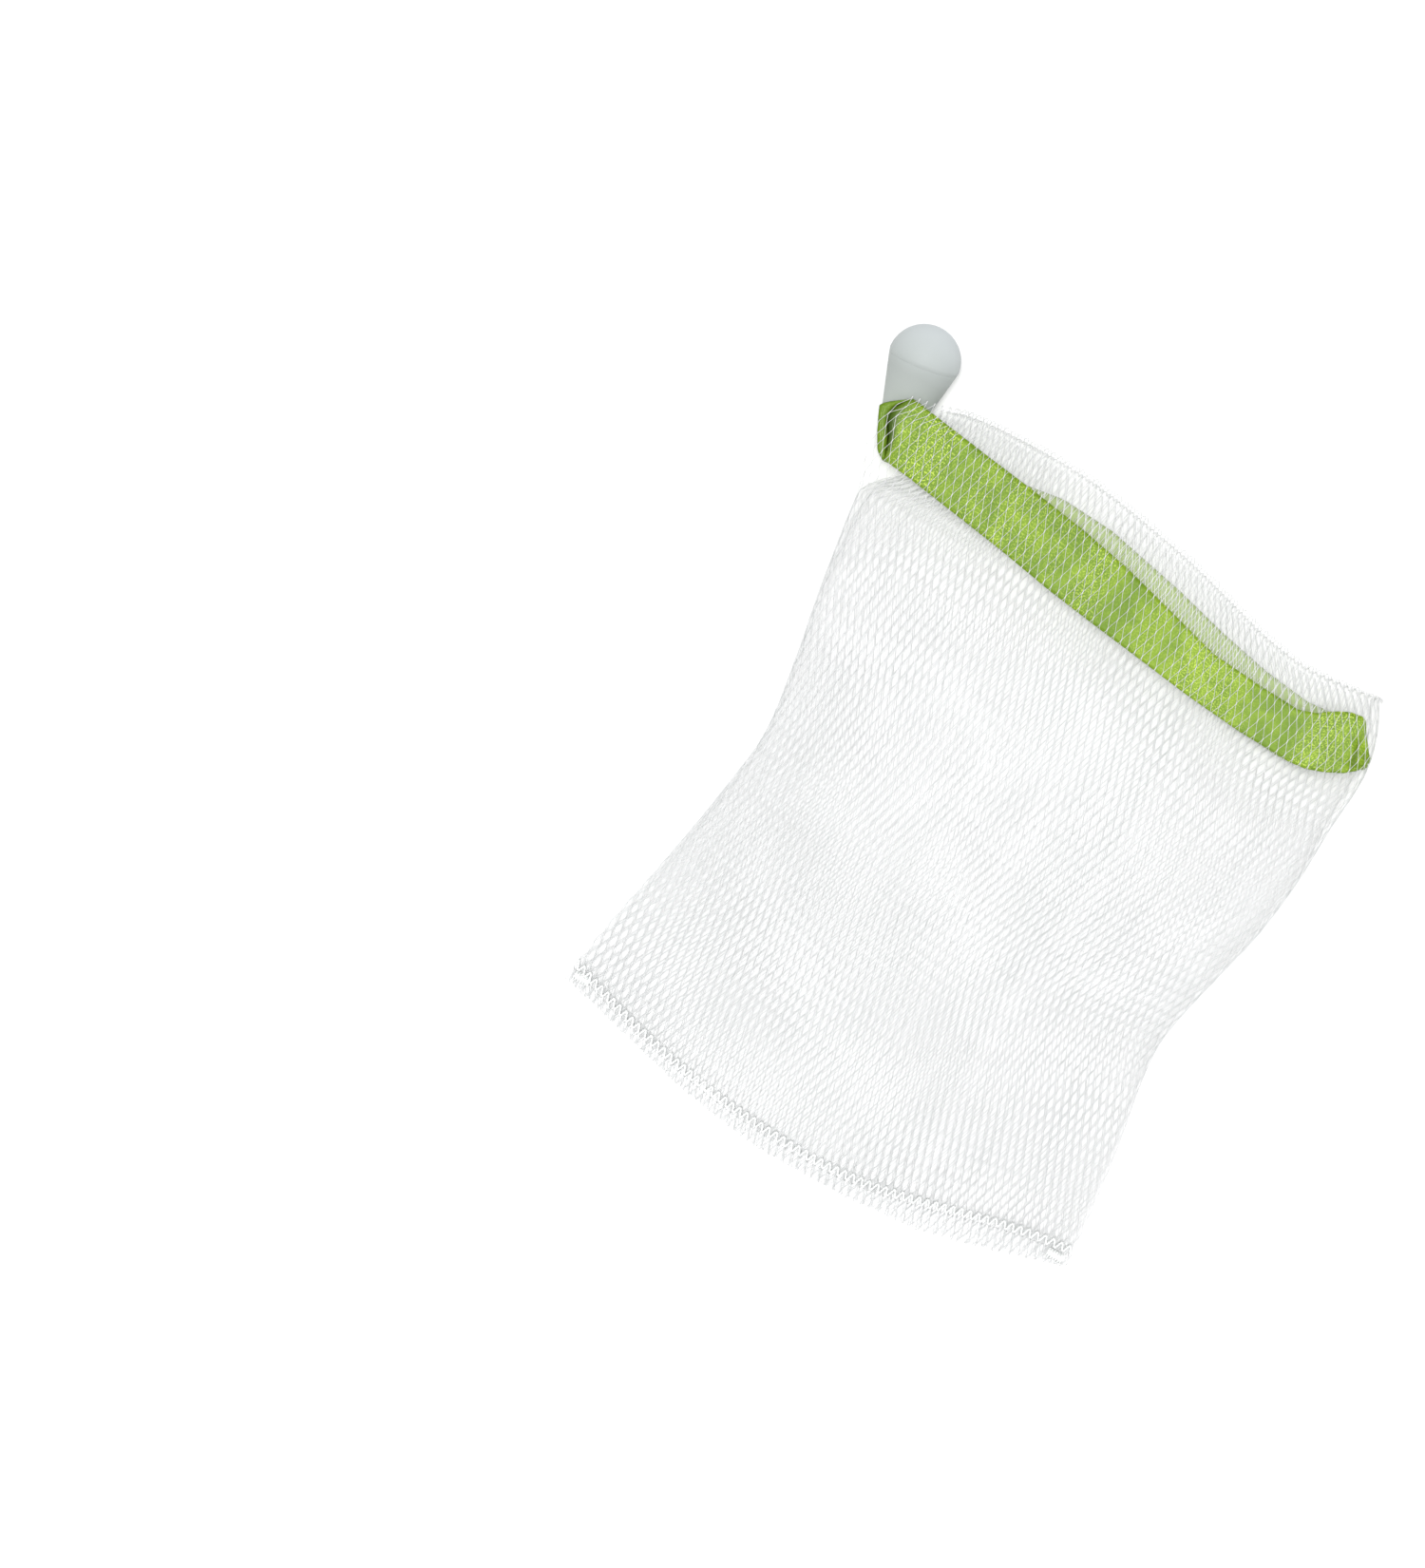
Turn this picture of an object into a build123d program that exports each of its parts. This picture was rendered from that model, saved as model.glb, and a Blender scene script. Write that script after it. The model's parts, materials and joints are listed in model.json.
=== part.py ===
"""Small drawstring net pouch with a bell stopper, lying on a flat surface. Millimetres.

Frame: the pouch lies on the plane z = 0. +Y points to the mouth, +X to the far end of the ribbon loop,
+Z up. The origin is on the underside, in the middle of the pouch.

The wall is one knitted net tube pushed into itself: an outer and an inner ply, joined by a fold at the
mouth and sewn flat together at the bottom. The satin ribbon runs round the mouth between the two plies
and both its ends leave at the left corner, where they are knotted inside a two-part bell stopper.
"""
from build123d import *
import math
import os

# ---- net ----
PLY = 0.4  # thickness of one ply of knitted net
PLY_GAP = 0.2  # between two plies that lie on each other
JOIN_GAP = 0.15  # between a flat wall and the fold that continues it
SEAM_HEIGHT = 4 * PLY + 3 * PLY_GAP  # four plies, sewn flat at the bottom
MOUTH_HEIGHT = 11.4  # outside height of the pouch where the ribbon runs

# Places along the pouch: y, left edge, right edge, outside height.
STATIONS = [
    (-54.0, -47.5, 51.4, SEAM_HEIGHT),
    (-35.0, -43.9, 48.8, 6.2),
    (-12.0, -39.7, 46.0, 9.3),
    (12.0, -41.4, 51.0, 11.0),
    (36.0, -46.2, 52.4, MOUTH_HEIGHT),
]

# ---- casing: the top of the pouch, which the ribbon runs through ----
CASING_START = 36.2
LEFT_EDGE = -46.2
RIGHT_EDGE = 52.4
FAR_X = RIGHT_EDGE - MOUTH_HEIGHT / 2  # where the far side starts to curve round
TOP_FOLD_LINE = [(-46.8, 58.8), (-34, 61.6), (-15, 62.4), (5, 59.6), (28, 53.9), (40, 53.2), (FAR_X, 54.4)]
FOLD_WIDTH = 1.2  # seen from above, of the rounded fold at the mouth
EXIT_LOW = 45.8  # the ribbon leaves the left side above this height
CORNER_EDGE = -46.8  # the front ply's edge over the ribbon exit
EXIT_EDGE = -41.3  # where the other plies stop, to leave room for the ribbon and stopper
FAR_FOLD_TOP = 51.0

# ---- bottom ----
HEM_START = -54.2
SEAM_LINE = [(-47.5, HEM_START), (-36, -57.7), (-20, -61.1), (-6, -62.6), (9.6, -62.6), (16, -61.8),
             (24.4, -59.9), (34.1, -57.3), (44, -55.1), (51.4, HEM_START)]
FRINGE_LINE = [(-47, -56.6), (-38, -58.7), (-20, -63.1), (-5, -65.1), (11.3, -64.9), (17.7, -64.3),
               (26.8, -63.3), (36.7, -60.8), (45, -58.1), (50.9, -56.3)]
STITCH_COUNT = 34
STITCH_LENGTH = 1.9
STITCH_WIDTH = 0.5
STITCH_HEIGHT = 0.3
STITCH_INSET = 0.7  # from the seam line to the stitches
STITCH_SPAN = (0.07, 0.88)  # shares of the seam line between the first and last stitch
TACK_SIZE = (3.4, 1.8, 0.5)
TACK_PLACES = {"left": (-45.0, -55.2), "right": (48.6, -55.4)}

# ---- ribbon ----
RIBBON_WIDTH = 11.0
RIBBON_THICK = 0.35
RIBBON_CLEAR = 0.25  # between the ribbon and each ply
CASING_GAP = RIBBON_THICK + 2 * RIBBON_CLEAR
FRONT_CENTRE = [(-46.6, 52.4), (-30, 50.4), (0, 46.0), (28, 42.8), (38, 42.3), (FAR_X, 44.0)]
BACK_CENTRE = [(-41.3, 51.4), (-20, 49.4), (0, 46.8), (22, 44.0), (38, 42.8), (FAR_X, 44.0)]
CORNER_TIP = (-50.2, 54.2)  # the folded corner of the front run, beside the exit
TAIL_WIDTH = 3.0  # of the ribbon, gathered to pass into the stopper
TAIL_THICK = 0.3
TAIL_OFFSET = 0.35  # of each tail from the stopper's axis
TAIL_INSIDE = 4.5  # how far the tails reach into the stopper, up to the knot
FRONT_TAIL = {"start": -1.8, "y": 51.0}  # where it meets the stopper's axis; where it comes down
BACK_TAIL = {"start": -3.0, "y": 49.8, "top": 1.9, "foot": 48.4}
KNOT_NECK = {"at": 5.6, "radius": 1.8, "length": 2.0}
KNOT_LUMPS = [(0.3, 7.8, 2.6), (-0.2, 9.8, 2.4)]  # offset from the axis, distance, radius
KNOT_ENDS = [(0.7, 12.2, 2.2), (-0.7, 12.0, 2.0)]  # offset from the axis, distance, length
KNOT_END_WIDTH = 3.2

# ---- stopper ----
NARROW_RADIUS = 3.05
WIDE_RADIUS = 6.3
CONE_LENGTH = 13.0  # from the narrow end to the widest circle
DOME_HEIGHT = 6.1
NOSE_ROUNDING = 0.7
PARTING = 12.4  # from the narrow end to the line between shell and cap
PARTING_GAP = 0.05
HOLE_RADIUS = 1.9
HOLE_LENGTH = 1.5
CAVITY_START = (2.2, 2.0)  # radius and distance where the hollow inside begins
CAVITY_END_RADIUS = 4.3
CAP_BORE_RADIUS = 4.8
BORE_STEP = 0.3
SPIGOT_CLEAR = 0.1
SPIGOT_DEPTH = 2.2
SPIGOT_WALL = 0.8
CEILING_RISE = 1.2  # of the cap's inside above the widest circle
NARROW_END = (-45.65, 52.8)  # seen from above
STOPPER_LEAN = 8.5  # degrees, from +Y towards -X

CONE_ANGLE = math.degrees(math.atan((WIDE_RADIUS - NARROW_RADIUS) / CONE_LENGTH))
PARTS = "parts"


def block(x0, x1, y0, y1, z0, z1):
    """A box given by its faces."""
    centre = Pos((x0 + x1) / 2, (y0 + y1) / 2, (z0 + z1) / 2)
    return centre * Box(x1 - x0, y1 - y0, z1 - z0)


def mirrored(level):
    """The same level, counted down from the top of the casing."""
    low, high = level
    return MOUTH_HEIGHT - high, MOUTH_HEIGHT - low


# Levels of the layers at the back of the casing; those at the front are their mirror images.
OUTER_LEVEL = (0, PLY)
RIBBON_LEVEL = (PLY + RIBBON_CLEAR, PLY + RIBBON_CLEAR + RIBBON_THICK)
INNER_LEVEL = (PLY + CASING_GAP, 2 * PLY + CASING_GAP)


# ---- body of the pouch, below the ribbon ----
def wall(depth, front):
    """A wall of the tube, `depth` inside its outer surface; the back is a flat plate."""
    sections = []
    for y, left, right, height in STATIONS:
        x0 = left + height / 2 + JOIN_GAP
        x1 = right - height / 2 - JOIN_GAP
        low = height - depth - PLY if front else depth - PLY
        high = height - depth if front else depth + 2 * PLY
        corners = [(x0, y, low), (x1, y, low), (x1, y, high), (x0, y, high)]
        sections.append(make_face(Polyline(*corners, close=True)))
    shape = loft(sections)
    if front:
        return shape
    return shape & block(2 * LEFT_EDGE, 2 * RIGHT_EDGE, 2 * HEM_START, 2 * CASING_START, depth, depth + PLY)


def half_ring(centre, y, radius, thick, side):
    """A half ring in the plane y, open towards the middle of the pouch; side is -1 left, +1 right."""
    x, z = centre
    inside = radius - thick
    outer = ThreePointArc((x, y, z - radius), (x + side * radius, y, z), (x, y, z + radius))
    inner = ThreePointArc((x, y, z + inside), (x + side * inside, y, z), (x, y, z - inside))
    ends = [Line(outer @ 1, inner @ 0), Line(inner @ 1, outer @ 0)]
    return make_face([outer, ends[0], inner, ends[1]])


def side_fold(depth, side):
    """The rounded side of the tube that joins its back and front walls."""
    sections = []
    for y, left, right, height in STATIONS:
        edge = left if side < 0 else right
        centre = (edge - side * height / 2, height / 2)
        sections.append(half_ring(centre, y, height / 2 - depth, PLY, side))
    return loft(sections)


def body_nodes():
    """The plies of the net below the casing."""
    nodes = {}
    for ply, depth in (("outer", 0), ("inner", PLY + PLY_GAP)):
        nodes[f"{ply}_net_back"] = wall(depth, front=False)
        nodes[f"{ply}_net_front"] = wall(depth, front=True)
        nodes[f"{ply}_net_left_fold"] = side_fold(depth, side=-1)
        nodes[f"{ply}_net_right_fold"] = side_fold(depth, side=1)
    return nodes


# ---- casing ----
def casing_slab(level, below_top, left):
    """A plate between the casing's lower line and the fold at the mouth, right of `left`."""
    top = Spline(*[(x, y - below_top) for x, y in TOP_FOLD_LINE])
    first, last = top @ 0, top @ 1
    foot_left = (first.X, CASING_START)
    foot_right = (last.X, CASING_START)
    face = make_face([top, Line(last, foot_right), Line(foot_right, foot_left), Line(foot_left, first)])
    slab = Pos(0, 0, level[0]) * extrude(face, level[1] - level[0])
    return slab & block(left, RIGHT_EDGE, 0, 100, *level)


def casing_ring(depth, side, top):
    """A rounded side of the casing, up to y = top."""
    edge = LEFT_EDGE if side < 0 else RIGHT_EDGE
    radius = MOUTH_HEIGHT / 2
    ring = half_ring((edge - side * radius, radius), top, radius - depth, PLY, side)
    return extrude(ring, top - CASING_START, dir=(0, -1, 0))


def mouth_fold(level):
    """The fold that joins the outer and inner plies along the mouth."""
    return casing_slab(level, 0, EXIT_EDGE) - casing_slab(level, FOLD_WIDTH, EXIT_EDGE - 1)


def casing_nodes():
    """The plies round the ribbon, their sides and the fold at the mouth."""
    below = FOLD_WIDTH + JOIN_GAP
    inner_depth = INNER_LEVEL[0]
    flat_left = LEFT_EDGE + MOUTH_HEIGHT / 2 + JOIN_GAP
    front = mirrored(OUTER_LEVEL)
    corner = block(CORNER_EDGE, flat_left, EXIT_LOW + PLY_GAP, 100, *front)
    nodes = {
        "casing_outer_back": casing_slab(OUTER_LEVEL, below, flat_left),
        "casing_inner_back": casing_slab(INNER_LEVEL, below, flat_left),
        "casing_inner_front": casing_slab(mirrored(INNER_LEVEL), below, flat_left),
        "casing_outer_front": casing_slab(front, below, flat_left)
        + (casing_slab(front, below, CORNER_EDGE) & corner),
        "mouth_fold_back": mouth_fold((0, INNER_LEVEL[1])),
        "mouth_fold_front": mouth_fold(mirrored((0, INNER_LEVEL[1]))),
    }
    for ply, depth in (("outer", 0), ("inner", inner_depth)):
        nodes[f"casing_{ply}_left_fold"] = casing_ring(depth, side=-1, top=EXIT_LOW)
        nodes[f"casing_{ply}_right_fold"] = casing_ring(depth, side=1, top=FAR_FOLD_TOP)
    return nodes


# ---- bottom ----
def bottom_nodes():
    """The plies sewn flat, the fringe beyond the seam, the stitches and the corner tacks."""
    seam = Spline(*SEAM_LINE)
    edge = Spline(*FRINGE_LINE)
    hem = make_face([seam, Line(seam @ 1, seam @ 0)])
    fringe = make_face([seam, Line(seam @ 1, edge @ 1), edge, Line(edge @ 0, seam @ 0)])
    stitch = extrude(SlotOverall(STITCH_LENGTH, STITCH_WIDTH), STITCH_HEIGHT)
    stitches = []
    first, last = STITCH_SPAN
    for i in range(STITCH_COUNT):
        share = first + (last - first) * i / (STITCH_COUNT - 1)
        point = seam @ share
        heading = seam % share
        angle = math.degrees(math.atan2(heading.Y, heading.X))
        stitches.append(Pos(point.X, point.Y + STITCH_INSET, SEAM_HEIGHT) * Rot(0, 0, angle) * stitch)
    nodes = {
        "bottom_hem": extrude(hem, SEAM_HEIGHT),
        "bottom_fringe": extrude(fringe, SEAM_HEIGHT),
        "bottom_seam_thread": Compound(children=stitches),
    }
    length, width, height = TACK_SIZE
    for side, (x, y) in TACK_PLACES.items():
        tack = extrude(SlotOverall(length, width), height)
        nodes[f"corner_tack_{side}"] = Pos(x, y, SEAM_HEIGHT) * tack
    return nodes


# ---- stopper ----
def stopper_plane():
    """The narrow end's centre, with local +Z along the stopper's axis and local +Y upwards."""
    lean = math.radians(STOPPER_LEAN)
    rise = math.radians(CONE_ANGLE)
    axis = (-math.sin(lean) * math.cos(rise), math.cos(lean) * math.cos(rise), math.sin(rise))
    centre = (*NARROW_END, NARROW_RADIUS * math.cos(rise))
    across = (math.cos(lean), math.sin(lean), 0)
    return Plane(origin=centre, x_dir=tuple(-c for c in across), z_dir=axis)


STOPPER = stopper_plane()


def turned(edges):
    """A solid of revolution about the stopper's axis, from edges in (radius, distance)."""
    section = make_face([Plane.XZ * edge for edge in edges])
    return STOPPER * revolve(section, Axis.Z)


def cone_radius(distance):
    """Outside radius of the stopper at a distance from its narrow end."""
    return NARROW_RADIUS + (WIDE_RADIUS - NARROW_RADIUS) * distance / CONE_LENGTH


def stopper_shell():
    """Hollow cone with a ribbon hole in its narrow end and a bore for the cap in its wide end."""
    lip = (cone_radius(NOSE_ROUNDING), NOSE_ROUNDING)
    nose = (lip[0] - NOSE_ROUNDING, 0)
    inset = NOSE_ROUNDING * (1 - math.cos(math.radians(45)))
    shoulder = (lip[0] - inset, inset)
    bore_floor = PARTING - SPIGOT_DEPTH - BORE_STEP
    outline = [
        (cone_radius(PARTING), PARTING),
        (CAP_BORE_RADIUS, PARTING),
        (CAP_BORE_RADIUS, bore_floor),
        (CAVITY_END_RADIUS, bore_floor - BORE_STEP),
        CAVITY_START,
        (HOLE_RADIUS, HOLE_LENGTH),
        (HOLE_RADIUS, 0),
    ]
    edges = [ThreePointArc(nose, shoulder, lip), Line(lip, outline[0])]
    edges += [Line(a, b) for a, b in zip(outline, outline[1:])]
    edges.append(Line(outline[-1], nose))
    return turned(edges)


def stopper_cap():
    """Domed cap with a hollow spigot that snaps into the shell."""
    base = PARTING + PARTING_GAP
    top = CONE_LENGTH + DOME_HEIGHT
    spigot = CAP_BORE_RADIUS - SPIGOT_CLEAR
    inside = spigot - SPIGOT_WALL
    dome_radius = (WIDE_RADIUS**2 + DOME_HEIGHT**2) / (2 * DOME_HEIGHT)
    half_angle = math.asin(WIDE_RADIUS / dome_radius) / 2
    halfway = (dome_radius * math.sin(half_angle), top - dome_radius * (1 - math.cos(half_angle)))
    ceiling = CONE_LENGTH + CEILING_RISE
    outline = [
        (0, top),
        (0, ceiling),
        (inside, ceiling),
        (inside, PARTING - SPIGOT_DEPTH),
        (spigot, PARTING - SPIGOT_DEPTH),
        (spigot, base),
        (cone_radius(PARTING), base),
        (WIDE_RADIUS, CONE_LENGTH),
    ]
    edges = [Line(a, b) for a, b in zip(outline, outline[1:])]
    edges.append(ThreePointArc(outline[-1], halfway, outline[0]))
    return turned(edges)


def ribbon_knot():
    """The knot of both ribbon ends, with the two cut ends beyond it."""
    knot = Pos(0, 0, KNOT_NECK["at"]) * Cylinder(KNOT_NECK["radius"], KNOT_NECK["length"])
    for offset, distance, radius in KNOT_LUMPS:
        knot += Pos(0, offset, distance) * Sphere(radius)
    for offset, distance, length in KNOT_ENDS:
        knot += Pos(0, offset, distance) * Box(KNOT_END_WIDTH, RIBBON_THICK, length)
    return STOPPER * knot


# ---- ribbon ----
def ribbon_strip(centre, level):
    """A run of flat ribbon along a centre line, seen from above."""
    half = RIBBON_WIDTH / 2
    low = Spline(*[(x, y - half) for x, y in centre])
    high = Spline(*[(x, y + half) for x, y in centre])
    face = make_face([low, Line(low @ 1, high @ 1), high, Line(high @ 0, low @ 0)])
    return Pos(0, 0, level[0]) * extrude(face, level[1] - level[0])


def tail_leg(offset, start):
    """The stretch of a tail that runs along the stopper's axis, through the hole."""
    middle = Pos(0, offset, (start + TAIL_INSIDE) / 2)
    return STOPPER * middle * Box(TAIL_WIDTH, TAIL_THICK, TAIL_INSIDE - start)


def tail_nodes(front_level):
    """The two tails, each gathered to a narrow strap between its run and the stopper's hole."""
    x0 = NARROW_END[0] - TAIL_WIDTH / 2 + PLY_GAP
    x1 = x0 + TAIL_WIDTH
    y = FRONT_TAIL["y"]
    drop = block(x0, x1, y, y + TAIL_THICK, STOPPER.origin.Z, front_level)
    y = BACK_TAIL["y"]
    rise = block(x0, x1, y, y + TAIL_THICK, RIBBON_LEVEL[0], BACK_TAIL["top"])
    y = BACK_TAIL["foot"]
    foot = block(x0, EXIT_EDGE, y, y + TAIL_WIDTH, *RIBBON_LEVEL)
    return {
        "ribbon_tail_front": drop + tail_leg(TAIL_OFFSET, FRONT_TAIL["start"]),
        "ribbon_tail_back": foot + rise + tail_leg(-TAIL_OFFSET, BACK_TAIL["start"]),
    }


def ribbon_nodes():
    """The ribbon: front run with its folded corner, back run, far loop and tails."""
    front = mirrored(RIBBON_LEVEL)
    x, y = FRONT_CENTRE[0]
    half = RIBBON_WIDTH / 2
    corner = make_face(Polyline((x, y - half), CORNER_TIP, (x, y + half), close=True))
    corner = Pos(0, 0, front[0]) * extrude(corner, RIBBON_THICK)
    loop_centre = (FAR_X, MOUTH_HEIGHT / 2)
    loop_y = FRONT_CENTRE[-1][1] + half
    loop = half_ring(loop_centre, loop_y, loop_centre[1] - RIBBON_LEVEL[0], RIBBON_THICK, side=1)
    return {
        "ribbon_front_run": ribbon_strip(FRONT_CENTRE, front) + corner,
        "ribbon_back_run": ribbon_strip(BACK_CENTRE, RIBBON_LEVEL),
        "ribbon_far_loop": extrude(loop, RIBBON_WIDTH, dir=(0, -1, 0)),
        **tail_nodes(front[0]),
    }


def main():
    """Write one STEP file per node."""
    os.makedirs(PARTS, exist_ok=True)
    nodes = {**body_nodes(), **casing_nodes(), **bottom_nodes(), **ribbon_nodes()}
    nodes["ribbon_knot"] = ribbon_knot()
    nodes["stopper_shell"] = stopper_shell()
    nodes["stopper_cap"] = stopper_cap()
    for name, shape in nodes.items():
        export_step(shape, f"{PARTS}/{name}.step")
    print(len(nodes), "nodes; stopper axis", STOPPER.z_dir, "narrow end", STOPPER.origin)


main()
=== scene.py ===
"""A small drawstring net pouch with a bell stopper, lying flat.

Lengths are in millimetres until a mesh is made; MM turns them into metres.
"""
import json
import math
import random

import bpy
import numpy as np
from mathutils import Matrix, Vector, noise


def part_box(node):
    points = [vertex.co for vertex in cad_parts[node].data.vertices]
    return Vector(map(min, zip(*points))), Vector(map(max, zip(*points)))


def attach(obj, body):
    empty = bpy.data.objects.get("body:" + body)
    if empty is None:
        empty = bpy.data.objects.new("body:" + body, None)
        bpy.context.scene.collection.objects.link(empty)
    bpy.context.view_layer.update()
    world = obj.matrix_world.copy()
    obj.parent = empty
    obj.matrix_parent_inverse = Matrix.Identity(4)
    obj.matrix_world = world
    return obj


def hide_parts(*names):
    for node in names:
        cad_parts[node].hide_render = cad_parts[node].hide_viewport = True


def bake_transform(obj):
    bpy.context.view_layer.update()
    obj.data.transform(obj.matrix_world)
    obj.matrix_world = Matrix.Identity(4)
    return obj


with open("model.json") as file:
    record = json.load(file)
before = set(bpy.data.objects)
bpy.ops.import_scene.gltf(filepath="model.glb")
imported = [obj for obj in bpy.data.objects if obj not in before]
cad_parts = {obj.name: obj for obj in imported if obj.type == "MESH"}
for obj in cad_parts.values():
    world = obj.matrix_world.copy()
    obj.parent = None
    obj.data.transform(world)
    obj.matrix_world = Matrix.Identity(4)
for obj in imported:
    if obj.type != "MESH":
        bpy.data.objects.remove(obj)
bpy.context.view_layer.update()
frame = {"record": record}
MM = 0.001
dice = random.Random(7)


# ---- what the frame says ----
def box_mm(node):
    """Lowest and highest corners of a CAD node, in millimetres."""
    low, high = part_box(node)
    return np.array(low) / MM, np.array(high) / MM


def joint(name):
    """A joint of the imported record."""
    return next(j for j in frame["record"]["behaviour"]["joints"] if j["name"] == name)


CASING_HEIGHT = box_mm("casing_outer_front")[1][2]
SEAM_HEIGHT = box_mm("bottom_hem")[1][2]
RIBBON_FRONT = box_mm("ribbon_front_run")
RIBBON_DEPTH = CASING_HEIGHT - (RIBBON_FRONT[0][2] + RIBBON_FRONT[1][2]) / 2
INNER_FRONT = box_mm("casing_inner_front")
INNER_DEPTH = CASING_HEIGHT - (INNER_FRONT[0][2] + INNER_FRONT[1][2]) / 2
STOPPER_AXIS = np.array(joint("cap_pull")["axis"])
SWING_POINT = np.array(joint("stopper_swing")["pos_m"]) / MM
STOPPER_END = np.array([-45.65, 52.8, 2.96])  # centre of the narrow end
NARROW, WIDEST = 3.05, 6.3  # radii of the stopper
CONE, DOME, PARTING = 13.0, 6.1, 12.4  # lengths of its two parts, and where the shell meets the cap
BORE, HOLE, CAVITY_WIDE, CAVITY_NARROW = 4.8, 1.9, 4.3, 2.2  # radii inside the shell
BORE_FLOOR, CAVITY_TOP, CAVITY_FLOOR, HOLE_LENGTH = 9.9, 9.6, 2.0, 1.5  # distances from the narrow end
SPIGOT, SPIGOT_INSIDE, SPIGOT_END, CAP_ROOF = 4.7, 3.9, 10.2, 1.2
SLOPE = (WIDEST - NARROW) / CONE

# ---- shape of the pouch, seen from above ----
LEFT_SIDE = [(-54.2, -47.5), (-45, -46.0), (-30, -43.0), (-15, -40.4), (-4, -39.2), (10, -41.0), (20, -43.0),
             (30, -44.7), (39, -46.0), (46, -46.5), (58.8, -46.9)]
RIGHT_SIDE = [(-54.2, 51.4), (-46, 50.5), (-36, 49.1), (-30, 48.0), (-24, 46.8), (-15, 45.9), (-8, 46.9),
              (0, 48.6), (10, 50.9), (20, 52.2), (30, 52.4), (45, 52.4), (49, 51.2), (54.6, 48.4)]
FOLD_LINE = [(-47, 58.9), (-42, 60.0), (-34, 61.7), (-25, 62.4), (-12, 62.3), (0, 60.6), (10, 58.6), (20, 56.0),
             (28, 54.0), (36, 53.2), (42, 53.8), (48.4, 54.6)]
SEAM_LINE = [(-47.5, -54.2), (-36, -57.7), (-20, -61.1), (-6, -62.6), (9.6, -62.6), (16, -61.8), (24.4, -59.9),
             (34.1, -57.3), (44, -55.1), (51.4, -54.2)]
FRINGE_LINE = [(-47, -56.6), (-38, -58.7), (-20, -63.1), (-5, -65.1), (11.3, -64.9), (17.7, -64.3),
               (26.8, -63.3), (36.7, -60.8), (45, -58.1), (50.9, -56.3)]
# Share of the way from the seam to the mouth, and the height there.
HEIGHTS = [(0, SEAM_HEIGHT - 0.25), (0.05, 3.6), (0.17, 6.3), (0.37, 9.2), (0.59, 10.9), (0.8, CASING_HEIGHT),
           (0.93, CASING_HEIGHT), (1, CASING_HEIGHT - 0.3)]
ROUNDNESS = [(0, 2.4), (0.3, 2.8), (0.75, 3.6), (0.85, 4.6), (1, 4.6)]  # exponent of the cross-section
EXIT_LOW = 39.0  # the left side begins to open for the ribbon
EXIT_HIGH = 47.0
EXIT_REACH = 30.0  # how far from the left the exit changes the plies
EXIT_EDGE = -41.0  # where all but the front outer ply stop above the exit

# ---- net ----
STRANDS = {"net_outer_front": 141, "net_outer_back": 139, "net_inner_front": 138, "net_inner_back": 140}
MESHES = {"net_outer_front": 26, "net_outer_back": 27, "net_inner_front": 28, "net_inner_back": 25}
FIRST_TURN = {"net_outer_front": 0.0, "net_outer_back": 0.27, "net_inner_front": 0.62, "net_inner_back": 0.83}
STRAND_RADIUS = 0.054
OUTER_DEPTH = 0.14  # of the outer ply's yarns below the pouch's outline
FLOOR_LEVEL = 0.13  # lowest middle of a yarn
KNOT_WIDTH, YARN_WIDTH = 1.28, 0.95  # of a strand at its knots and between them, times its radius
OVER_RIBBON = 0.2  # how much thinner the front outer ply's yarn is over the ribbon
SWING = 0.47  # sideways reach of a strand, as a share of the distance between strands
SIDE_REACH = 0.33  # the same in millimetres, where strands end
HALF_MESH = 2.25  # along a strand, from knot to knot
SWING_PHASES = [0.0, 0.07, 0.43, 0.5, 0.57, 0.93]
CURL_STEPS = 5


def smooth_line(points, at):
    """Values at `at` of a smooth line through (place, value) points."""
    x, y = np.array(points, float).T
    slope = np.gradient(y, x)
    at = np.clip(np.asarray(at, float), x[0], x[-1])
    i = np.clip(np.searchsorted(x, at) - 1, 0, len(x) - 2)
    step = x[i + 1] - x[i]
    t = (at - x[i]) / step
    rise = (2 * t**3 - 3 * t**2 + 1) * y[i] + (-2 * t**3 + 3 * t**2) * y[i + 1]
    return rise + step * ((t**3 - 2 * t**2 + t) * slope[i] + (t**3 - t**2) * slope[i + 1])


def ease(value, low, high):
    """0 at low, 1 at high, smooth between."""
    t = np.clip((np.asarray(value, float) - low) / (high - low), 0, 1)
    return t * t * (3 - 2 * t)


def mix(a, b, share):
    return a + (b - a) * share


def noise_at(x, y, size_x, size_y, seed):
    """Smooth noise from -1 to 1 over the plane, for arrays of places."""
    x, y = np.broadcast_arrays(x, y)
    flat = [noise.noise(Vector((a / size_x, b / size_y, seed))) for a, b in zip(x.ravel(), y.ravel())]
    return np.array(flat).reshape(x.shape)


# Long soft folds of the front: x and y of the middle, direction in degrees, length, width, height.
FOLDS = [(-12, 4, 98, 70, 5.0, 0.55), (10, -20, 84, 60, 6.0, 0.5), (28, 8, 80, 60, 5.5, -0.5),
         (-28, -8, 104, 50, 5.0, -0.45), (38, 18, 88, 50, 4.5, 0.5), (-2, -36, 92, 36, 4.0, -0.4),
         (-33, 24, 75, 40, 5.0, 0.4), (20, -44, 70, 30, 4.5, 0.45), (-22, -46, 110, 26, 4.0, 0.4)]


def lift(x, y):
    """How far the front stands above its plain shape: long folds and small waves."""
    total = 0.22 * noise_at(x, y, 13, 26, 3.1) + 0.1 * noise_at(x, y, 5, 9, 8.4)
    for fold_x, fold_y, turn, length, width, height in FOLDS:
        c, s = math.cos(math.radians(turn)), math.sin(math.radians(turn))
        along = (x - fold_x) * c + (y - fold_y) * s
        across = (y - fold_y) * c - (x - fold_x) * s
        total = total + height * np.exp(-((along / (length / 2)) ** 2) - (across / width) ** 2)
    return total * ease(y, -58, -44) * (1 - 0.75 * ease(y, 30, 40))


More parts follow.
